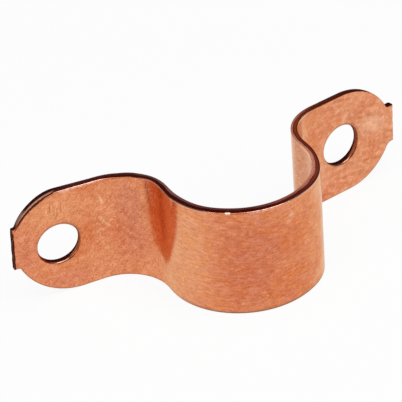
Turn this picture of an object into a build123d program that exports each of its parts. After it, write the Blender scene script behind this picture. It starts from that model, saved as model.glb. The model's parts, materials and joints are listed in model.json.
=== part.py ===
# Two-hole strap for copper tube: one strip of copper sheet, punched to its outline
# and pressed into a half-round saddle between two flat flanges.
#
# The tube runs along Z, with its axis through the origin. The strap stands on its
# lower edge at Z = 0, bulges to -Y and is screwed to a wall on its +Y side.
import os
from math import cos, radians, sin

from build123d import *

# Tube and sheet
tube_diameter = 15.9
sheet = 0.8
strip_width = 12.7

# Pressed form: the legs below the saddle, and the bends measured on their hollow side
leg_length = 1.0
bend_radius = 5.3

# Flanges: lean back towards the wall in degrees, length from the end of the bend to
# the tip, hole from the end of the bend, and rise of the parting tab above the middle
# of the strip. Each corner has the length of the tab beside it, and of its rounding
# from there to the straight edge
left_lean = 1.0
left_length = 9.75
left_hole = 4.65
left_tab_rise = 0.9
left_upper_tab = 0.6
left_upper_rounding = 4.8
left_lower_tab = 0.6
left_lower_rounding = 7.0
right_lean = 11.3
right_length = 11.7
right_hole = 3.6
right_tab_rise = -0.35
right_upper_tab = 1.2
right_upper_rounding = 6.5
right_lower_tab = 0.75
right_lower_rounding = 6.0

# Screw holes
hole_diameter = 4.9

# Parting tab, where the next strap in the strip was sheared off
tab_width = 4.75
tab_root_radius = 0.3

# Edge drawn over by the punch, on the bulging side only
edge_roll = 0.14

# Places that follow from the sizes above
saddle_inside = tube_diameter / 2
saddle_outside = saddle_inside + sheet
mid_width = strip_width / 2
left_way = Vector(-cos(radians(left_lean)), sin(radians(left_lean)))
right_way = Vector(cos(radians(right_lean)), sin(radians(right_lean)))

# Margin by which a punch runs past the sheet
past = 2 * sheet

# Two points closer than this are one point
same_place = 1e-4


# Front face of the strip, seen along the tube from the left tip to the right tip
with BuildLine() as front_line:
    saddle = JernArc((-saddle_outside, 0), (0, -1), saddle_outside, 180)
    left_leg = Line(saddle @ 0, (-saddle_outside, leg_length))
    left_bend = JernArc(left_leg @ 1, (0, 1), bend_radius, 90 - left_lean)
    left_run = Line(left_bend @ 1, left_bend @ 1 + left_way * left_length)
    right_leg = Line(saddle @ 1, (saddle_outside, leg_length))
    right_bend = JernArc(right_leg @ 1, (0, 1), bend_radius, right_lean - 90)
    right_run = Line(right_bend @ 1, right_bend @ 1 + right_way * right_length)

# Flange planes: X runs to the tip, Y up the width of the strip
left_flange = Plane(left_run @ 0, x_dir=left_way, z_dir=left_way.cross(Vector(0, 0, 1)))
right_flange = Plane(right_run @ 0, x_dir=right_way, z_dir=right_way.cross(Vector(0, 0, 1)))


def end_scrap(flange, length, hole, tab_rise, upper, lower):
    """What is punched out of one flange: the screw hole and the two corners beside the tab."""
    tab_middle = mid_width + tab_rise
    corners = [
        (lower, 0, -past, tab_middle - tab_width / 2),
        (upper, strip_width, strip_width + past, tab_middle + tab_width / 2),
    ]
    roots = []
    with BuildSketch(flange) as scrap:
        for (tab, rounding), edge, outside, tab_side in corners:
            straight_end = length - tab - rounding
            with BuildLine():
                arc = TangentArc((straight_end, edge), (length - tab, tab_side), tangent=(1, 0))
                Polyline(
                    arc @ 1,
                    (length + past, tab_side),
                    (length + past, outside),
                    (straight_end, outside),
                    arc @ 0,
                )
            make_face()
            roots.append(arc @ 1)
        fillet([scrap.vertices().sort_by_distance(root)[0] for root in roots], tab_root_radius)
        with Locations((hole, mid_width)):
            Circle(hole_diameter / 2)
    return scrap.sketch


def on_front(edge):
    """True for an edge that lies in the front face of the strip."""
    middle = edge @ 0.5
    return front_line.line.distance_to(Vector(middle.X, middle.Y, 0)) < same_place


with BuildPart() as strap:
    # Pressed strip, still with square ends
    with BuildSketch(Plane.XY):
        with BuildLine():
            add(front_line.line)
            offset(front_line.line, amount=sheet, side=Side.LEFT)
        make_face()
    extrude(amount=strip_width)

    # Round ends, tabs and screw holes, punched square to each flange
    left_upper = (left_upper_tab, left_upper_rounding)
    left_lower = (left_lower_tab, left_lower_rounding)
    left_scrap = end_scrap(left_flange, left_length, left_hole, left_tab_rise, left_upper, left_lower)
    right_upper = (right_upper_tab, right_upper_rounding)
    right_lower = (right_lower_tab, right_lower_rounding)
    right_scrap = end_scrap(right_flange, right_length, right_hole, right_tab_rise, right_upper, right_lower)
    extrude(left_scrap + right_scrap, amount=past, both=True, mode=Mode.SUBTRACT)

    # Drawn edge all round the front face, but not across the tabs, which were sheared last
    front_edges = strap.edges().filter_by(on_front)
    fillet(front_edges.filter_by(Axis.Z, reverse=True), edge_roll)

strap.part.label = "pipe_strap"

os.makedirs("parts", exist_ok=True)
export_step(strap.part, "parts/pipe_strap.step")
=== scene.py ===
import json
import math

import bpy
from mathutils import Matrix, Quaternion, Vector, noise

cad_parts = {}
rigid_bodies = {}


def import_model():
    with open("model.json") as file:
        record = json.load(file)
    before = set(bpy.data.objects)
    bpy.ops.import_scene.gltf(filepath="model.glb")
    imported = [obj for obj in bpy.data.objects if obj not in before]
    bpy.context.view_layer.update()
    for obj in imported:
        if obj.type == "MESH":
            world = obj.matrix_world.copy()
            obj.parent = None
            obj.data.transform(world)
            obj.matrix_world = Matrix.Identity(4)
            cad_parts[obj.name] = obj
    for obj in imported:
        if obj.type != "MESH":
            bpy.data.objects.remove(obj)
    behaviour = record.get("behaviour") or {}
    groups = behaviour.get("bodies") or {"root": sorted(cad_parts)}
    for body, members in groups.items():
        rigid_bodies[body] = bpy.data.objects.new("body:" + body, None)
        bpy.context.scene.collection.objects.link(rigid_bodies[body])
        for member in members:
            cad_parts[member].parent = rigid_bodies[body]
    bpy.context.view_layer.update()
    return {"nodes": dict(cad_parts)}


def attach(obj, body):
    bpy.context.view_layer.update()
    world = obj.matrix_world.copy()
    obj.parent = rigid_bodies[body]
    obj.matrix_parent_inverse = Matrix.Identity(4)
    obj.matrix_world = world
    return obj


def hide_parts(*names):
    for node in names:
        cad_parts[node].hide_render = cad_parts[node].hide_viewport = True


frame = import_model()
mm = 0.001
print("frame loaded:", sorted(frame["nodes"]))

scene = bpy.context.scene
scene.view_settings.view_transform = "Standard"


class Wire:  # one socket of a node tree, so that maths on it can be written out
    def __init__(self, tree, socket=None):
        self.tree, self.socket = tree, socket

    def add(self, kind, settings=None, sockets=None, out=0):
        node = self.tree.nodes.new(kind)
        for name, value in (settings or {}).items():
            if name == "stops":  # a ramp's stops: place and colour
                while len(node.color_ramp.elements) < len(value):
                    node.color_ramp.elements.new(1.0)
                for element, (place, colour) in zip(node.color_ramp.elements, value):
                    element.position, element.color = place, colour
            else:
                setattr(node, name, value)
        for name, value in (sockets or {}).items():
            if isinstance(value, Wire):
                self.tree.links.new(value.socket, node.inputs[name])
            else:
                node.inputs[name].default_value = value
        return Wire(self.tree, node.outputs[out] if len(node.outputs) else None)

    def out(self, name):
        return Wire(self.tree, self.socket.node.outputs[name])

    def sum(self, operation, *values):
        return self.add("ShaderNodeMath", {"operation": operation}, dict(enumerate(values)))

    def __add__(self, other):
        return self.sum("ADD", self, other)

    __radd__ = __add__

    def __sub__(self, other):
        return self.sum("SUBTRACT", self, other)

    def __rsub__(self, other):
        return self.sum("SUBTRACT", other, self)

    def __mul__(self, other):
        return self.sum("MULTIPLY", self, other)

    def __truediv__(self, other):
        return self.sum("DIVIDE", self, other)

    def __abs__(self):
        return self.sum("ABSOLUTE", self)

    def most(self, other):  # the larger of the two
        return self.sum("MAXIMUM", self, other)

    def rise(self, low, high):  # 0 below low, 1 above high, eased between
        return self.add("ShaderNodeMapRange", {"interpolation_type": "SMOOTHSTEP"},
                        {"Value": self, "From Min": low, "From Max": high})

    def fall(self, low, high):  # 1 below low, 0 above high
        return 1 - self.rise(low, high)

    def between(self, start, full, fade, end):  # 1 from full to fade, 0 before start and after end
        return self.rise(start, full) * self.fall(fade, end)

    def near(self, place, reach):  # 1 at the place, 0 beyond the reach
        return abs(self - place).fall(0.0, reach)

    def axes(self):  # the three parts of a vector
        first = self.add("ShaderNodeSeparateXYZ", None, {"Vector": self})
        return first, first.out("Y"), first.out("Z")

    def stretched(self, x, y, z):
        return self.add("ShaderNodeMapping", {"vector_type": "POINT"}, {"Vector": self, "Scale": (x, y, z)})

    def placed(self, along, up, length, width, turn):  # seen from a place on the strip, in lengths and widths
        return self.add("ShaderNodeMapping", {"vector_type": "TEXTURE"},
                        {"Vector": self, "Location": (along, 0, up), "Rotation": (0, math.radians(turn), 0),
                         "Scale": (length, 1000, width)})

    def spot(self, *place):  # distance from a place on the strip, 1 at its rim
        return self.add("ShaderNodeVectorMath", {"operation": "LENGTH"},
                        {0: self.placed(*place)}, out="Value")

    def noise(self, detail, roughness, distortion):
        return self.add("ShaderNodeTexNoise", {"noise_dimensions": "3D"},
                        {"Vector": self, "Scale": 1.0, "Detail": detail,
                         "Roughness": roughness, "Distortion": distortion})

    def texture(self, name):
        stretch, look = sheetTextures[name]
        return self.stretched(*stretch).noise(*look)

    def ramp(self, stops):  # colours for places between 0 and 1
        return self.add("ShaderNodeValToRGB", {"stops": stops}, {"Fac": self}, out="Color")

    def dimmed(self, value):  # this colour times a value
        return self.add("ShaderNodeVectorMath", {"operation": "SCALE"}, {"Vector": self, "Scale": value})

    def lifted(self, value, tone):  # this colour with some of a tone added, or taken away
        return self.add("ShaderNodeVectorMath", {"operation": "MULTIPLY_ADD"},
                        {0: value, 1: tone[:3], 2: self})

    def blend(self, tone, other):  # from one colour to another, as this goes from 0 to 1
        return self.add("ShaderNodeMix", {"data_type": "RGBA"}, {0: self, 6: tone, 7: other}, out=2)

    def tint(self, mask, colour):  # this colour, going to another one where the mask is 1
        return mask.blend(self, colour)


# the strap: cut flat from sheet, then bent over the tube, all in millimetres until it is bent
strapShape = {
    "sheet": 0.8, "width": 12.7, "saddleRadius": 8.75, "legLength": 1.0, "bendRadius": 5.3,
    "holeRadius": 2.45,
    "left": {
        "lean": 1.0, "length": 9.75, "hole": 4.65,
        "upper": (0.5, 4.8, 0.3), "lower": (0.45, 7.0, 0.3),  # tab's length, corner's run, radius at the root
        "tabWidth": 4.87, "tabRise": 0.84, "tabSlant": 0.063, "tabLevel": 1.7,
        "holeSize": (2.42, 2.28), "holeShift": (0.02, -0.10),
        "cornerTear": 0.30, "tearEase": 0.6,                  # the sloping cut at the upper corner
        "cornerFrom": 0.1, "cornerFull": 40,                  # in degrees round the corner
    },
    "right": {
        "lean": 11.3, "length": 11.7, "hole": 3.6,
        "upper": (0.95, 6.75, 0.3), "lower": (0.8, 5.95, 0.9),
        "tabWidth": 4.75, "tabRise": -0.35, "tabSlant": 0.0, "tabLevel": 0.0,
        "holeSize": (2.52, 2.39), "holeShift": (0.15, -0.03),
    },
    "ragged": 0.05, "raggedPitch": 1.7, "tabSteps": 8,  # torn ends of the tabs
    "roll": 0.11, "rollSteps": 4, "hold": 0.10,         # rounded front edge left by the press
    "breakDepth": 0.56, "breakTaper": 0.045,            # torn part of the cut, towards the back
    "holeRoll": 0.30, "holeDraw": 0.36,                 # how far the punch drew the front in round the holes
    "edgeLift": (  # how far bending moved the upper edge: along, front, back
        (5.29, 0.0, 0.18), (9.75, -0.12, -0.06), (12.0, -0.18, -0.03), (14.0, 0.0, 0.09),
        (16.5, 0.20, 0.20), (18.5, 0.12, 0.22), (20.5, 0.02, 0.20), (24.0, -0.02, 0.11),
        (28.0, -0.04, 0.17), (36.0, -0.03, 0.16), (46.0, 0.0, 0.08), (52.0, 0.0, 0.0),
    ),
    "bulge": (40.0, 4.5, 0.13),                         # fuller front at the right: along, reach, how far
    "bendSteps": 36, "saddleSteps": 84, "cornerSteps": 28, "rootSteps": 6, "holeSteps": 40,
    "formerTurn": 30.0, "formerSteps": 48, "smoothAngle": 36.0,
    "weld": 1e-4, "creaseSlack": 1e-5, "rollSlack": 1.1, "holeSlack": 0.02,
    "facing": 0.9, "wallLean": 0.05,                    # how square a face is, and how far a wall leans out
}
sheet, width = strapShape["sheet"], strapShape["width"]
left, right = strapShape["left"], strapShape["right"]
leftBend = math.radians(90 - left["lean"]) * strapShape["bendRadius"]
rightBend = math.radians(90 - right["lean"]) * strapShape["bendRadius"]
saddleRun = math.pi * strapShape["saddleRadius"]
stripLength = (left["length"] + leftBend + 2 * strapShape["legLength"] + saddleRun
               + rightBend + right["length"])
middle = width / 2
leftHole = left["length"] - left["hole"]  # hole centres along the flat strip
rightHole = stripLength - (right["length"] - right["hole"])
pen = Vector((0, strapShape["breakDepth"], 0))


def penRun(x, z):
    bpy.ops.mesh.extrude_vertices_move(TRANSFORM_OT_translate={"value": (x - pen.x, 0, z - pen.z)})
    pen.x, pen.z = x, z


def penTurn(x, z, degrees, steps):
    bpy.ops.mesh.spin(steps=steps, angle=math.radians(degrees), center=(x, pen.y, z), axis=(0, 1, 0))
    arm = Matrix.Rotation(-math.radians(degrees), 3, "Y") @ Vector((pen.x - x, 0, pen.z - z))
    pen.x, pen.z = x + arm.x, z + arm.z


def endCorner(end, up):  # the arc from the strip's side to the tab, and the small arc at the tab's root
    tabLength, rounding, root = end["upper" if up > 0 else "lower"]
    tabSide = end["tabWidth"] / 2 + up * end["tabRise"]
    drop = middle - tabSide
    radius = (rounding ** 2 + drop ** 2) / (2 * drop)
    centreAlong = tabLength + rounding
    centreUp = middle - radius
    rootUp = tabSide + root
    reach = math.sqrt((radius + root) ** 2 - (rootUp - centreUp) ** 2)
    sweep = 90 - math.degrees(math.atan2(rootUp - centreUp, reach))
    return tabSide, centreAlong, centreUp, centreAlong - reach, rootUp, sweep


def tabTip(end, rise):  # where the torn end of the tab lies, this far above the middle of the strip
    tear = noise.noise(Vector((end["length"], rise * strapShape["raggedPitch"], 0.5)))
    return end["tabSlant"] * (rise - end["tabLevel"]) + tear * strapShape["ragged"]


def pickFaces(piece, wanted):
    bpy.ops.mesh.select_all(action="DESELECT")
    bpy.ops.object.mode_set(mode="OBJECT")
    for face in piece.data.polygons:
        face.select = wanted(face)
    bpy.ops.object.mode_set(mode="EDIT")


def cutBlank():  # the flat outline with its two holes, one half above the middle and one below
    bpy.ops.mesh.primitive_plane_add(size=1, location=(0, 0, 0))
    blank = bpy.context.object
    blank.name = blank.data.name = "pipeStrap"
    bpy.ops.object.mode_set(mode="EDIT")
    bpy.ops.mesh.delete(type="VERT")
    bore, tabSteps = strapShape["holeRadius"], strapShape["tabSteps"]
    cornerSteps, rootSteps = strapShape["cornerSteps"], strapShape["rootSteps"]
    for up in (1, -1):
        leftSide, leftAlong, leftUp, leftRoot, leftRootUp, leftSweep = endCorner(left, up)
        rightSide, rightAlong, rightUp, rightRoot, rightRootUp, rightSweep = endCorner(right, up)
        bpy.ops.mesh.select_all(action="DESELECT")
        pen.x, pen.z = tabTip(left, 0), middle
        bpy.ops.mesh.primitive_plane_add(size=0.1, location=pen)
        bpy.ops.mesh.merge(type="CENTER")
        for step in range(1, tabSteps + 1):
            rise = up * leftSide * step / tabSteps
            penRun(tabTip(left, rise), middle + rise)
        penRun(leftRoot, middle + up * leftSide)
        penTurn(leftRoot, middle + up * leftRootUp, up * leftSweep, rootSteps)
        penTurn(leftAlong, middle + up * leftUp, -up * leftSweep, cornerSteps)
        penRun(stripLength - rightAlong, middle + up * width / 2)
        penTurn(stripLength - rightAlong, middle + up * rightUp, -up * rightSweep, cornerSteps)
        penTurn(stripLength - rightRoot, middle + up * rightRootUp, up * rightSweep, rootSteps)
        for step in range(tabSteps, -1, -1):
            rise = up * rightSide * step / tabSteps
            penRun(stripLength - tabTip(right, rise), middle + rise)
        for hole in (rightHole, leftHole):
            penRun(hole + bore, middle)
            penTurn(hole, middle, up * 180, strapShape["holeSteps"])
        penRun(tabTip(left, 0), middle)
        bpy.ops.mesh.select_linked()
        bpy.ops.mesh.remove_doubles(threshold=strapShape["weld"])
        bpy.ops.mesh.edge_face_add()
    bpy.ops.mesh.select_all(action="SELECT")
    bpy.ops.mesh.remove_doubles(threshold=strapShape["weld"])
    bpy.ops.mesh.normals_make_consistent(inside=False)
    return blank


def creaseLines():  # where the flat strip is divided so that it can bend
    places, at = [], left["length"]
    for run, steps in ((leftBend, strapShape["bendSteps"]), (strapShape["legLength"], 0),
                       (saddleRun, strapShape["saddleSteps"]), (strapShape["legLength"], 0),
                       (rightBend, strapShape["bendSteps"])):
        places += [at + run * i / steps for i in range(steps + 1)] if steps else []
        at += run
    return places


def thickenBlank(blank):
    for along in creaseLines():
        bpy.ops.mesh.select_all(action="SELECT")
        bpy.ops.mesh.bisect(plane_co=(along, 0, 0), plane_no=(1, 0, 0), threshold=strapShape["creaseSlack"])
    bpy.ops.mesh.select_all(action="SELECT")
    bpy.ops.mesh.extrude_region_move(
        TRANSFORM_OT_translate={"value": (0, strapShape["roll"] - strapShape["breakDepth"], 0)})
    bpy.ops.mesh.select_all(action="SELECT")
    bpy.ops.mesh.normals_make_consistent(inside=False)
    pickFaces(blank, lambda face: face.normal.y < -strapShape["facing"])
    roll, steps = strapShape["roll"], strapShape["rollSteps"]
    for i in range(steps):
        here, there = math.pi / 2 * i / steps, math.pi / 2 * (i + 1) / steps
        bpy.ops.mesh.inset(thickness=roll * (math.cos(here) - math.cos(there)),
                           depth=roll * (math.sin(there) - math.sin(here)))
    bpy.ops.mesh.inset(thickness=strapShape["hold"], depth=0)
    pickFaces(blank, lambda face: face.normal.y > strapShape["facing"])
    bpy.ops.mesh.inset(thickness=strapShape["breakTaper"], depth=sheet - strapShape["breakDepth"])
    bpy.ops.mesh.inset(thickness=strapShape["hold"], depth=0)
    bpy.ops.object.mode_set(mode="OBJECT")
    notes = blank.data.attributes
    notes.new("blank", "FLOAT_VECTOR", "POINT")  # along, depth, up, before bending
    notes.new("edge", "FLOAT_VECTOR", "POINT")   # which way a cut faces, nothing on the faces
    for vertex, place, edge in zip(blank.data.vertices, notes["blank"].data, notes["edge"].data):
        place.vector = vertex.co
        side = Vector((vertex.normal.x, 0, vertex.normal.z))
        edge.vector = side.normalized() if side.length > strapShape["wallLean"] else Vector()


def drawHoles(blank):  # the punch left each hole a little oval, with its front edge drawn in
    bore, roll = strapShape["holeRadius"], strapShape["roll"]
    for end, along in ((left, leftHole), (right, rightHole)):
        length, height = end["holeSize"]
        aside, rise = end["holeShift"]
        for vertex in blank.data.vertices:
            arm = Vector((vertex.co.x - along, 0, vertex.co.z - middle))
            out = arm.length - bore
            if out > roll + strapShape["hold"] + strapShape["holeSlack"]:
                continue
            if vertex.co.y < roll * strapShape["rollSlack"]:
                out += min(out / roll, 1.0) * (strapShape["holeRoll"] - roll)
                vertex.co.y *= strapShape["holeDraw"] / roll
            arm.normalize()
            vertex.co.x = along + aside + arm.x * (length + out)
            vertex.co.z = middle + rise + arm.z * (height + out)


def tearCorner(blank):  # at the upper left the cut slopes: its front edge stands back from the outline
    _, centreAlong, centreUp, _, _, sweep = endCorner(left, 1)
    centre = Vector((centreAlong, 0, middle + centreUp))
    rim = width / 2 - centreUp - 2 * (strapShape["roll"] + strapShape["hold"])
    for vertex in blank.data.vertices:
        arm = Vector((vertex.co.x, 0, vertex.co.z)) - centre
        turn = math.degrees(math.atan2(-arm.x, arm.z))  # 0 at the straight edge, sweep at the tab
        if arm.length < rim or not left["cornerFrom"] < turn < sweep:
            continue
        if vertex.co.y < strapShape["breakDepth"] / 2:
            share = math.sin(math.pi * turn / sweep) ** left["tearEase"]
            vertex.co -= arm.normalized() * left["cornerTear"] * share
        elif turn < left["cornerFull"]:                 # and its back edge stands out near the straight edge
            lift = strapShape["edgeLift"][0][2] * vertex.co.y / sheet
            share = math.cos(math.radians(90 * turn / left["cornerFull"])) ** 2
            vertex.co += arm.normalized() * lift * share


def liftEdge(blank):  # the upper edge isn't quite straight: the sheet squeezed out where it was bent
    top = width - (strapShape["roll"] + strapShape["hold"]) * strapShape["rollSlack"]
    lifts = strapShape["edgeLift"]
    for vertex in blank.data.vertices:
        for (start, frontHere, backHere), (stop, frontNext, backNext) in zip(lifts, lifts[1:]):
            if vertex.co.z > top and start <= vertex.co.x <= stop:
                share = (vertex.co.x - start) / (stop - start)
                share *= share * (3 - 2 * share)        # eased
                front = frontHere + (frontNext - frontHere) * share
                back = backHere + (backNext - backHere) * share
                vertex.co.z += front + (back - front) * vertex.co.y / sheet
                break


def bulgeSaddle(blank):
    along, reach, out = strapShape["bulge"]
    for vertex in blank.data.vertices:
        share = abs(vertex.co.x - along) / reach
        if share < 1 and vertex.co.y < strapShape["breakDepth"] / 2:
            vertex.co.y -= out * math.cos(math.pi / 2 * share) ** 2


def formerLine():  # the line of the front face, seen from above, as a smooth curve
    bend, saddle, leg = strapShape["bendRadius"], strapShape["saddleRadius"], strapShape["legLength"]
    lean = math.radians(left["lean"])
    place = Vector((-(saddle + bend - bend * math.sin(lean) + left["length"] * math.cos(lean)),
                    leg + bend * math.cos(lean) + left["length"] * math.sin(lean), 0))
    heading = -lean
    knots = [[place.copy(), heading, 1.0, 1.0]]  # place, heading, reach of the two handles
    moves = ((left["length"], 0, 0), (0, left["lean"] - 90, bend), (leg, 0, 0), (0, 180, saddle),
             (leg, 0, 0), (0, right["lean"] - 90, bend), (right["length"], 0, 0))
    for run, turn, radius in moves:
        parts = math.ceil(abs(turn) / strapShape["formerTurn"]) or 1
        step = math.radians(turn) / parts
        reach = 4 / 3 * math.tan(abs(step) / 4) * radius if turn else run / 3
        for part in range(parts):
            knots[-1][3] = reach
            if turn:
                side = Vector((-math.sin(heading), math.cos(heading), 0)) * math.copysign(radius, turn)
                place = place + side + Matrix.Rotation(step, 3, "Z") @ -side
            else:
                place = place + Vector((math.cos(heading), math.sin(heading), 0)) * run
            heading += step
            knots.append([place.copy(), heading, reach, 1.0])
    bpy.ops.curve.primitive_bezier_curve_add(location=(0, 0, 0))
    former = bpy.context.object
    former.data.dimensions, former.data.twist_mode = "3D", "Z_UP"
    former.data.resolution_u = strapShape["formerSteps"]
    points = former.data.splines[0].bezier_points
    points.add(len(knots) - len(points))
    for point, (place, heading, before, after) in zip(points, knots):
        ahead = Vector((math.cos(heading), math.sin(heading), 0))
        point.handle_left_type = point.handle_right_type = "FREE"
        point.co, point.handle_left, point.handle_right = place, place - ahead * before, place + ahead * after
    return former


def bendStrap(blank):
    former = formerLine()
    bpy.ops.object.select_all(action="DESELECT")
    blank.select_set(True)
    bpy.context.view_layer.objects.active = blank
    bend = blank.modifiers.new("bend", "CURVE")
    bend.object, bend.deform_axis = former, "POS_X"
    bpy.ops.object.modifier_apply(modifier="bend")
    bpy.data.objects.remove(former)
    blank.scale = (mm, mm, mm)
    bpy.ops.object.transform_apply(location=False, rotation=False, scale=True)
    bpy.ops.object.mode_set(mode="EDIT")
    bpy.ops.mesh.select_all(action="SELECT")
    bpy.ops.mesh.normals_make_consistent(inside=False)
    bpy.ops.object.mode_set(mode="OBJECT")
    bpy.ops.object.shade_smooth_by_angle(angle=math.radians(strapShape["smoothAngle"]))


bpy.ops.object.select_all(action="DESELECT")
strap = cutBlank()
thickenBlank(strap)
drawHoles(strap)
tearCorner(strap)
liftEdge(strap)
bulgeSaddle(strap)
bendStrap(strap)
print("strap bent:", len(strap.data.vertices), "vertices")

copperTones = {
    "plain": (0.735, 0.262, 0.120, 1), "pale": (0.830, 0.430, 0.260, 1), "red": (0.665, 0.180, 0.068, 1),
    "tan": (0.770, 0.325, 0.150, 1), "pink": (0.665, 0.215, 0.120, 1), "rose": (0.625, 0.178, 0.084, 1),
    "mauve": (0.610, 0.205, 0.118, 1), "back": (0.590, 0.245, 0.155, 1),
    "glint": (0.700, 0.370, 0.230, 1), "blush": (-0.06, 0.01, 0.08, 1),  # what grain and blotches add
    "bareHighlight": (0.930, 0.600, 0.470, 1), "dull": (0.380, 0.100, 0.045, 1),  # painted highlight on worn front edges, painted shade on the unworn ones
    "grimeAndShade": (0.300, 0.110, 0.060, 1),                                   # dark pits, and painted shade along the lower edges
    "edgeTint": (1.0, 0.92, 0.76, 1), "roughness": 0.18, "bump": (0.25, 0.00006),
    "stains": (  # tone, along, up, length, width, turn and strength of the broad soft patches
        ("pink", 1.2, 6.5, 2.6, 4.5, 0, 0.6), ("tan", 4.8, 10.6, 4.6, 2.4, 0, 0.7),
        ("red", 8.8, 7.6, 1.8, 4.6, 0, 0.12), ("mauve", 13.4, 9.6, 2.6, 4.0, 0, 0.65),
        ("rose", 12.6, 5.0, 2.0, 6.0, 0, 0.6), ("mauve", 14.0, 5.6, 1.8, 5.0, 0, 0.55),
        ("pink", 6.0, 1.4, 5.0, 1.8, 0, 0.6), ("tan", 22.6, 7.0, 3.6, 8.5, 0, 0.7),
        ("tan", 19.4, 1.6, 3.6, 2.4, 0, 0.6), ("rose", 29.4, 6.2, 6.0, 9.5, 0, 0.9),
        ("red", 34.6, 3.4, 3.8, 2.8, -30, 0.7), ("red", 35.0, 8.8, 3.6, 3.2, 0, 0.5),
        ("pale", 39.2, 11.4, 2.6, 1.6, 0, 0.5), ("pale", 39.0, 1.4, 3.0, 1.6, 0, 0.3),
        ("red", 57.2, 10.2, 2.6, 2.4, 0, 0.4), ("red", 62.6, 3.6, 3.2, 2.2, 30, 0.5),
        # the pale patch at 51.8 along, high on the right bend, is a painted highlight
        ("pale", 63.0, 7.3, 3.0, 1.5, 12, 0.7), ("pale", 51.8, 10.5, 1.6, 5.0, 0, 0.9),
        ("red", 59.0, 1.2, 3.0, 1.4, 0, 0.4), ("pale", 55.2, 4.0, 1.8, 4.0, 0, 0.4),
        ("pale", 19.8, 8.8, 2.0, 5.5, 0, 0.6), ("rose", 42.4, 6.0, 2.8, 9.5, 0, 0.7),
    ),
    "scuffs": (  # along, up, length, width, turn and strength of the pale marks
        (10.35, 10.25, 0.95, 0.22, 72, 0.75), (10.25, 7.65, 0.85, 0.24, 58, 0.75),
        (10.85, 6.85, 0.50, 0.20, 40, 0.7), (10.10, 6.45, 0.45, 0.18, 10, 0.65),
        (9.85, 5.80, 0.60, 0.12, 88, 0.6), (10.60, 3.90, 0.40, 0.26, 0, 0.6),
        (34.45, 11.00, 0.60, 0.42, -62, 0.75), (34.00, 10.30, 0.45, 0.30, -20, 0.6),
        (27.50, 11.60, 0.50, 0.10, 0, 0.5), (31.10, 1.90, 0.14, 0.14, 0, 0.9),
        (28.40, 1.30, 0.25, 0.16, 0, 0.8), (36.80, 1.00, 0.30, 0.16, -60, 0.7),
        (23.10, 8.10, 0.25, 0.12, 0, 0.6), (58.00, 10.90, 0.70, 0.28, -35, 0.9),
        (59.20, 9.80, 0.75, 0.28, -50, 0.9), (63.20, 6.75, 2.90, 1.10, 12, 0.4),
        (53.20, 10.30, 0.90, 0.22, 75, 0.8), (23.10, 11.00, 1.70, 0.11, 12, 0.7),
        (22.90, 11.60, 1.30, 0.10, 14, 0.6), (22.40, 10.35, 1.30, 0.10, 16, 0.6),
        (21.60, 5.20, 1.10, 0.12, -8, 0.5), (21.00, 6.30, 0.90, 0.11, -14, 0.5),
    ),
    "drag": (5.0, 10.9, 2.0, 1.6, 0), "scrape": (10.4, 7.8, 2.2, 4.2, 0),  # along, up, length, width, turn
    "wipes": (0, 0, 1.6, 0.24, -50), "sweeps": (0, 0, 2.8, 0.50, 12),      # the same for two kinds of strokes
    "strokeLook": (2.0, 0.5, 0.4),                                         # their detail and so on
}
cutTones = {
    "smooth": (  # the part the press sheared, along the strip; its near-black colour is painted shade, lighter round the right bend
        (0, (0.050, 0.010, 0.007, 1)), (6, (0.062, 0.011, 0.008, 1)), (14, (0.045, 0.005, 0.004, 1)),
        (30, (0.042, 0.003, 0.003, 1)), (36, (0.078, 0.009, 0.006, 1)), (40, (0.155, 0.028, 0.014, 1)),
        (46, (0.120, 0.018, 0.008, 1)), (51, (0.180, 0.030, 0.013, 1)), (55, (0.090, 0.012, 0.006, 1)),
        (60, (0.060, 0.008, 0.005, 1)),
    ),
    "torn": (  # the part that broke away behind it; painted shade and light that change along the strip
        (0, (0.090, 0.026, 0.020, 1)), (10, (0.090, 0.026, 0.023, 1)), (14, (0.110, 0.040, 0.032, 1)),
        (19, (0.240, 0.112, 0.090, 1)), (24, (0.140, 0.048, 0.042, 1)), (30, (0.095, 0.026, 0.022, 1)),
        (36, (0.400, 0.125, 0.080, 1)), (41, (0.650, 0.240, 0.160, 1)), (51, (0.600, 0.230, 0.152, 1)),
        (55, (0.150, 0.045, 0.030, 1)), (58, (0.090, 0.026, 0.018, 1)),
    ),
    "corner": (  # the sloping cut at the upper left, from front to back
        (0.14, (0.050, 0.009, 0.006, 1)), (0.26, (0.050, 0.009, 0.006, 1)), (0.34, (0.540, 0.270, 0.180, 1)),
        (0.46, (0.500, 0.240, 0.160, 1)), (0.54, (0.200, 0.080, 0.055, 1)), (0.62, (0.340, 0.200, 0.130, 1)),
        (0.78, (0.280, 0.150, 0.105, 1)), (0.88, (0.070, 0.025, 0.020, 1)),
    ),
    "boreLit": (0.440, 0.115, 0.050, 1), "boreDark": (0.045, 0.007, 0.005, 1),
    "stubAndShadow": (0.035, 0.006, 0.005, 1), "roughness": 0.9, "boreRim": 0.3,
}
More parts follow.
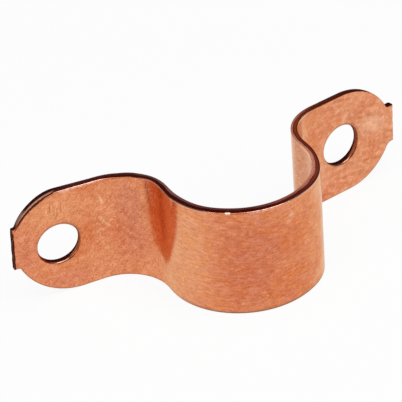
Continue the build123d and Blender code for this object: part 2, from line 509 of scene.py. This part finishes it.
sheetTextures = {  # scale along, through and up the strip, then detail, roughness and distortion
    "clouds": ((0.19, 6.0, 0.26), (2.0, 0.5, 0.3)),   # patches a few millimetres across
    "mottle": ((1.30, 6.0, 1.50), (2.0, 0.5, 0.4)),   # blotches under a millimetre
    "grain": ((1.00, 9.0, 4.0), (4.0, 0.75, 0.0)),    # rolling lines along the strip
    "fine": ((4.6, 9.0, 5.4), (2.0, 0.8, 0.0)),       # uneven shine
    "pits": ((4.0, 9.0, 4.6), (1.0, 0.5, 0.0)),
    "stroke": ((1.1, 9.0, 1.1), (1.0, 0.5, 1.0)),     # thin curly scratches
    "blush": ((0.55, 6.0, 0.75), (2.0, 0.5, 0.5)),    # blotches of hue on the saddle
    "dragged": ((3.0, 9.0, 0.45), (2.0, 0.5, 0.3)),   # upright marks above the left hole
    "ragged": ((3.0, 4.0, 3.0), (3.0, 0.6, 0.0)),     # roughness of the cuts
    "tear": ((0.45, 0.0, 0.45), (3.0, 0.6, 0.0)),     # how deep the torn part starts
    "sparkle": ((2.6, 0.0, 2.6), (2.0, 0.6, 0.0)),    # breaks up the painted highlight along the worn edge
}
stretches = {  # where along the strip the finish and the painted light and shade change
    "saddle": (17, 21, 45, 49), "rightHalf": (33, 40, 51, 55), "rightSide": (36, 38, 51, 55),
    "rightBend": (43, 47, 51, 55), "backLipHighlight": (36, 39, 44, 48), "lowEdgeShade": (17, 24, 46, 48),
    "wearHighlightLeft": (5.4, 6.2, 9.5, 11.5), "wearHighlightBend": (14, 16, 25.0, 26.5), "wearHighlightRight": (28, 42, 52, 55),
    "rightEnd": (52.5, 58), "rightStub": (stripLength - 1.3, stripLength - 1.0),       # from here on
    "leftStub": (0.5, 0.9), "stubRim": (0.3, 0.45), "slope": (4.6, 5.6), "shade": (5.5, 7.5),  # up to here
    "paleLeg": (21.0, 4.5), "softBend": (16.5, 3.5), "mattLip": (16.5, 4.0),           # place and reach
    "wearHighlightMiddle": (31.0, 2.5), "nickGlint": (27.45, 0.429),
}
heights = {  # where up the strip
    "slope": (9.0, 9.8), "shade": (10.9, 11.6), "backLipHighlight": (12.1, 12.45), "lowEdgeShade": (0.05, 0.55),
    "nickGlint": (12.50, 12.62),
}
depths = {  # and how deep in the sheet
    "front": (0.2, 0.5), "roll": (0.0, 0.03), "wall": (0.07, 0.11), "back": (0.785, 0.80),
    "shade": (0.34, 0.44), "backEdgeShadow": (0.72, 0.77), "stubAndShadow": (0.16, 0.28), "bore": (0.56, 0.76),
    "nickGlint": (0.14, 0.24), "bright": 0.32, "torn": 0.48,
}


def faceColour(blank, front):
    along = blank.axes()[0]
    onSaddle = along.between(*stretches["saddle"])
    rightEnd = along.rise(*stretches["rightEnd"])
    clouds, mottle, grain = blank.texture("clouds"), blank.texture("mottle"), blank.texture("grain")
    fine, blush, dragged = blank.texture("fine"), blank.texture("blush"), blank.texture("dragged")
    pits = blank.texture("pits").fall(0.30, 0.40)
    stroke = blank.texture("stroke").near(0.5, 0.05)
    wipes = blank.placed(*copperTones["wipes"]).noise(*copperTones["strokeLook"])
    sweeps = blank.placed(*copperTones["sweeps"]).noise(*copperTones["strokeLook"])

    colour = clouds.rise(0.22, 0.56).blend(copperTones["red"], copperTones["plain"])
    colour = colour.tint(rightEnd * 0.22 + along.near(*stretches["paleLeg"]) * 0.20, copperTones["pale"])
    colour = colour.tint((1 - front) * 0.8, copperTones["back"])
    for tone, *place, strength in copperTones["stains"]:
        stain = (blank.spot(*place) * (0.7 + clouds * 0.6)).fall(0.2, 1.0) * front
        colour = colour.tint(stain * strength, copperTones[tone])
    colour = colour.tint(mottle.rise(0.48, 0.76) * 0.18, copperTones["pale"])
    scrape = blank.spot(*copperTones["scrape"]).fall(0.3, 1.0)
    colour = colour.tint(stroke * mottle.rise(0.44, 0.58) * (scrape * 0.80 + rightEnd * 0.60) * front,
                         copperTones["pale"])
    for *place, strength in copperTones["scuffs"]:
        scuff = (blank.spot(*place) * (0.4 + mottle * 1.2)).fall(0.25, 1.0)
        colour = colour.tint(scuff * front * strength, copperTones["pale"])
    drag = blank.spot(*copperTones["drag"]).fall(0.4, 1.0)
    shine = ((fine - 0.5) * (1.15 - onSaddle * 0.55 - rightEnd * 0.75) * (0.5 + clouds)
             + (grain - 0.5) * (0.40 + onSaddle * 0.65)
             + (mottle - 0.5) * (0.40 + rightEnd * 0.20 - onSaddle * 0.15)
             + (wipes - 0.5) * (0.40 - rightEnd * 0.20 - onSaddle * 0.28)
             + (sweeps - 0.5) * rightEnd * 0.6
             + (dragged - 0.5) * drag * front * 1.5)
    colour = colour.lifted(shine, copperTones["glint"]).lifted((blush - 0.5) * onSaddle, copperTones["blush"])
    colour = colour.tint(pits * 0.25, copperTones["grimeAndShade"])
    rough = (copperTones["roughness"] + (mottle - 0.5) * 0.12 + (grain - 0.5) * 0.10
             + along.near(*stretches["softBend"]) * 0.05)
    return colour, rough, grain * 0.5 + mottle * 0.6


def cutColour(blank, edge):
    along, depth, up = blank.axes()
    across, _, upward = edge.axes()
    ragged, tear = blank.texture("ragged"), blank.texture("tear")
    smooth, broken = [
        (along / stripLength).ramp([(place / stripLength, tone) for place, tone in cutTones[part]])
        for part in ("smooth", "torn")]
    slope = (depth / sheet + (ragged - 0.5) * 0.10).ramp(cutTones["corner"])
    rightHalf, rightBendTop = along.between(*stretches["rightHalf"]), along.between(*stretches["rightBend"])
    tornDepth = depth - (depths["torn"] + rightBendTop * 0.08 + (tear - 0.5) * 0.30)
    # painted light: the sheared part is lightest about a third of the way in, darker either side
    smooth = smooth.dimmed(1.3 - abs(depth - depths["bright"]).rise(0.04, 0.22) * 0.7)
    colour = smooth.tint(tornDepth.rise(-0.04, 0.04), broken)
    colour = colour.tint(tornDepth.near(0.10, 0.05) * ragged.rise(0.35, 0.55) * 0.7, cutTones["stubAndShadow"])
    sloping = along.fall(*stretches["slope"]) * up.rise(*heights["slope"])
    colour = colour.tint(sloping, slope).dimmed(0.5 + ragged)
    shade = along.fall(*stretches["shade"]) * up.rise(*heights["shade"]) * depth.rise(*depths["shade"])
    colour = colour.tint(shade, cutTones["stubAndShadow"])
    # painted shadow: a dark line along the back edge of the cut
    colour = colour.tint(depth.rise(*depths["backEdgeShadow"]) * (1 - rightHalf * 0.5) * 0.35, cutTones["stubAndShadow"])
    leftStub, rightStub = along.fall(*stretches["leftStub"]), along.rise(*stretches["rightStub"])
    torn = leftStub * (depth + (ragged - 0.5) * 0.5).rise(*depths["stubAndShadow"])
    colour = colour.tint(leftStub, copperTones["dull"]).tint(torn + rightStub, cutTones["stubAndShadow"])
    rim = strapShape["holeRadius"] + cutTones["boreRim"]
    holes = 2 - (blank.spot(leftHole, middle, rim, rim, 0).rise(0.96, 1.0)
                 + blank.spot(rightHole, middle, rim, rim, 0).rise(0.96, 1.0))
    low = upward * upward * 0.75 + across.rise(0.0, 0.6) * upward.rise(-0.3, 0.1) * 0.5
    lit = (depth + low).fall(*depths["bore"])         # dark from the back, more so low down
    return colour.tint(holes, lit.blend(cutTones["boreDark"], cutTones["boreLit"])), holes, ragged


def copperFinish():
    finish = bpy.data.materials.new("copper")
    finish.use_nodes = True
    tree = finish.node_tree
    tree.nodes.clear()
    start = Wire(tree)
    blank = start.add("ShaderNodeAttribute", {"attribute_name": "blank"}, out="Vector")
    edge = start.add("ShaderNodeAttribute", {"attribute_name": "edge"}, out="Vector")
    along, depth, up = blank.axes()
    across, _, upward = edge.axes()
    front = depth.fall(*depths["front"])
    face, rough, height = faceColour(blank, front)
    cut, holes, ragged = cutColour(blank, edge)

    sparkle = blank.texture("sparkle").rise(0.42, 0.58)
    # painted highlight, partly real wear: where the rounded front edge is painted bright
    wearAndHighlight = (along.between(*stretches["wearHighlightLeft"]) * (0.35 + sparkle * 0.65)
            + along.near(*stretches["wearHighlightMiddle"]) * sparkle * 0.6
            + along.between(*stretches["wearHighlightBend"]) * 0.3
            + along.between(*stretches["wearHighlightRight"]) * 0.8)
    wearAndHighlight = wearAndHighlight * (1 - holes) + holes * upward.rise(0.80, 0.97) * 0.3
    rim = wearAndHighlight.blend(copperTones["dull"], copperTones["bareHighlight"])
    topSide = upward.rise(0.1, 0.6) * front
    rolled = depth.rise(*depths["roll"]) * topSide    # the rounded front edge, seen from above: painted highlight where worn, painted shade elsewhere
    lipHighlight = topSide * wearAndHighlight * (1 - holes)                # the same edge seen from the front, painted as a highlight
    rightSide = along.between(*stretches["rightSide"])
    walls = (depth + (holes + rightSide) * 0.05).rise(*depths["wall"]) * depth.fall(*depths["back"])
    face = face.tint(rolled * 0.8, rim).tint(lipHighlight * 0.8, copperTones["bareHighlight"])
    backLipHighlight = (depth.rise(*depths["back"]) * up.rise(*heights["backLipHighlight"])
               * along.between(*stretches["backLipHighlight"]))
    face = face.tint(backLipHighlight * 0.5, copperTones["bareHighlight"])  # painted highlight: a bright line along the back edge inside the saddle
    cut = rim.tint(walls, cut)
    # painted shade: the lower edges, and the cuts that face down, are darkened
    lowEdgeShade = up.fall(*heights["lowEdgeShade"]) * along.between(*stretches["lowEdgeShade"]) * 0.5
    face = face.tint((lowEdgeShade + (0 - upward).rise(0.05, 0.5) * 0.5) * front, copperTones["grimeAndShade"])
    stubRim = ((0 - across) + (ragged - 0.5) * 1.4).rise(0.6, 0.9) * along.fall(*stretches["stubRim"]) * front
    face = face.tint(stubRim, cutTones["stubAndShadow"])
    # painted glint: a small bright spot where the top edge is nicked
    nickGlint = (along.near(*stretches["nickGlint"]).rise(0.2, 0.5) * up.rise(*heights["nickGlint"])
            * depth.fall(*depths["nickGlint"]))
    bumpStrength, bumpDistance = copperTones["bump"]
    bump = start.add("ShaderNodeBump", None,
                     {"Height": height, "Strength": bumpStrength, "Distance": bumpDistance})
    metal = start.add("ShaderNodeBsdfPrincipled", None,
                      {"Base Color": face.tint(nickGlint, copperTones["bareHighlight"]), "Metallic": 1.0,
                       "Roughness": rough, "Normal": bump, "Specular Tint": copperTones["edgeTint"]})
    # the cuts are matt, so their painted colours stand in for their shade and reflections
    matt = start.add("ShaderNodeBsdfPrincipled", None,
                     {"Base Color": cut.tint(nickGlint, copperTones["bareHighlight"]), "Metallic": 0.0,
                      "Roughness": cutTones["roughness"], "Specular IOR Level": 0.0})
    # the edge goes matt where its painted highlight and painted shade must show unchanged
    mattEdge = rolled * (wearAndHighlight * 0.7 + along.near(*stretches["mattLip"]) * 0.6)
    both = start.add("ShaderNodeMixShader", None, {0: walls.most(mattEdge), 1: metal, 2: matt})
    start.add("ShaderNodeOutputMaterial", None, {"Surface": both})
    return finish


strap.data.materials.clear()
strap.data.materials.append(copperFinish())
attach(strap, "root")
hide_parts("pipe_strap")
print("copper finish on the strap")

studio = {
    "floorReach": 1.6, "floorSides": 96, "rimRise": 0.28, "rimFlare": 0.12, "floorDrop": 0.00002,
    "floorColour": (0.93, 0.93, 0.93, 1), "floorGlow": 0.92,
    "world": (0.06, 0.06, 0.06, 1),
    "lamps": (  # name, direction from the strap, distance, size, watts
        ("topLamp", (0.06, -0.20, 1.00), 0.58, 0.50, 2.4),
        ("frontLamp", (0.45, -0.62, 0.85), 0.75, 0.40, 1.0),
        ("leftLamp", (-0.75, -0.45, 0.70), 0.75, 0.40, 1.0),
    ),
}


def pourFloor():
    bpy.ops.mesh.primitive_circle_add(vertices=studio["floorSides"], radius=studio["floorReach"],
                                      fill_type="NGON", location=(0, 0, -studio["floorDrop"]))
    floor = bpy.context.object
    floor.name = "floor"
    bpy.ops.object.mode_set(mode="EDIT")
    bpy.ops.mesh.select_all(action="SELECT")
    bpy.ops.mesh.inset(thickness=studio["rimFlare"], depth=-studio["rimRise"])  # the rim stands round it
    bpy.ops.object.mode_set(mode="OBJECT")
    bpy.ops.object.transform_apply(location=True, rotation=False, scale=False)
    lowest = min(vertex.co.z for vertex in floor.data.vertices)
    for vertex in floor.data.vertices:
        vertex.co.z -= lowest + studio["floorDrop"]
    paint = bpy.data.materials.new("floorPaint")
    paint.use_nodes = True
    tree = paint.node_tree
    tree.nodes.clear()
    start = Wire(tree)
    path = start.add("ShaderNodeLightPath", out="Is Camera Ray")
    seen = path.most(path.out("Is Glossy Ray")).most(path.out("Is Transmission Ray"))
    matt = start.add("ShaderNodeBsdfDiffuse", None, {"Color": studio["floorColour"]})
    glow = start.add("ShaderNodeEmission", None, {"Strength": 1.0})
    both = start.add("ShaderNodeMixShader", None, {0: seen * studio["floorGlow"], 1: matt, 2: glow})
    start.add("ShaderNodeOutputMaterial", None, {"Surface": both})
    floor.data.materials.append(paint)


def hangLamps():
    aim = Vector((0, 0, middle * mm))
    for name, direction, distance, size, watts in studio["lamps"]:
        place = aim + Vector(direction).normalized() * distance
        bpy.ops.object.light_add(type="AREA", location=place)
        lamp = bpy.context.object
        lamp.name = name
        lamp.rotation_euler = (place - aim).to_track_quat("Z", "Y").to_euler()
        lamp.data.shape, lamp.data.size, lamp.data.energy = "SQUARE", size, watts
    world = bpy.data.worlds.new("studioAir")
    scene.world = world
    world.use_nodes = True
    world.node_tree.nodes["Background"].inputs["Color"].default_value = studio["world"]


pourFloor()
hangLamps()
print("floor and lamps ready")

shot = {  # the photograph's angle, read off the strap's edges
    "aim": (-2.034, 5.410, 6.333), "azimuth": -24.57, "elevation": 32.75, "roll": 4.81,
    "distance": 219.5, "lens": 179.66, "sensor": 36.0, "clip": (0.01, 20.0),
}


def placeCamera():
    bpy.ops.object.camera_add()
    camera = bpy.context.object
    turn, rise = math.radians(shot["azimuth"]), math.radians(shot["elevation"])
    back = Vector((math.sin(turn) * math.cos(rise), -math.cos(turn) * math.cos(rise), math.sin(rise)))
    roll = Quaternion((0, 0, 1), -math.radians(shot["roll"]))
    camera.location = (Vector(shot["aim"]) + back * shot["distance"]) * mm
    camera.rotation_mode = "QUATERNION"
    camera.rotation_quaternion = back.to_track_quat("Z", "Y") @ roll
    camera.data.lens, camera.data.sensor_width = shot["lens"], shot["sensor"]
    camera.data.clip_start, camera.data.clip_end = shot["clip"]
    scene.camera = camera


placeCamera()
print("camera placed")
